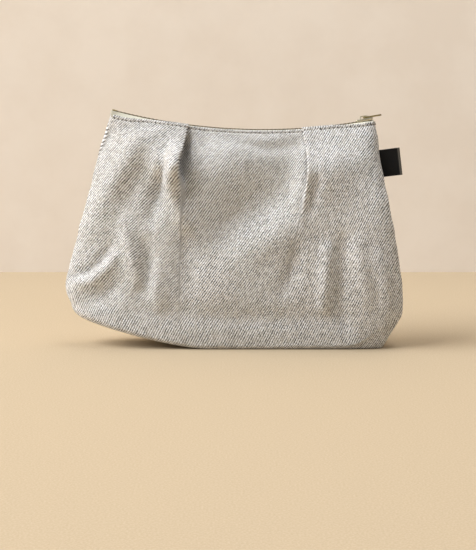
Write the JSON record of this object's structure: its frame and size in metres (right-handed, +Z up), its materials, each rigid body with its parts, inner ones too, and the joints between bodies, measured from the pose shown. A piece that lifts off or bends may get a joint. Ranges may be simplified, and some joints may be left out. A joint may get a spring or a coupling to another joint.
{
  "type": "pleated zip pouch",
  "caption": "Free-standing cloth pouch with a boxed base, knife pleats at the mouth, and a sagging zip with a running slider and swinging pull tab.",
  "frame": {"origin": "on the table, under the middle of the pouch", "axes": "+X along the zip towards its closed end, +Y from the front to the back, +Z up"},
  "size_m": [0.2505, 0.0639, 0.1753],
  "materials": {
    "twill": "coarse heathered twill",
    "lining": "plain weave",
    "zip_tape": "woven polyester tape",
    "zip_teeth": "darkened metal",
    "antique_brass": "antiqued, semi-bright",
    "tag_tape": "matt woven tape"
  },
  "bodies": {
    "pouch": {"front_panel": "twill", "back_panel": "twill", "front_lining": "lining", "back_lining": "lining", "zip_tape_front": "zip_tape", "zip_tape_back": "zip_tape", "zip_teeth_front": "zip_teeth", "zip_teeth_back": "zip_teeth", "zip_bottom_stop": "antique_brass", "zip_top_stop_front": "antique_brass", "zip_top_stop_back": "antique_brass", "side_tag": "tag_tape"},
    "slider": {"zip_slider": "antique_brass"},
    "pull": {"pull_tab": "antique_brass"}
  },
  "joints": [
    {"name": "slider_travel", "type": "hinge", "parent": "pouch", "child": "slider", "pos_m": [0.0221, 0, 0.5977], "axis": [0, 1, 0], "range_deg": [0, 23.1], "deforming": ["zip_teeth_front", "zip_teeth_back"]},
    {"name": "pull_tab_swing", "type": "hinge", "parent": "slider", "child": "pull", "pos_m": [0.09603, 0, 0.16903], "axis": [0, -1, 0], "range_deg": [0, 176]}
  ]
}
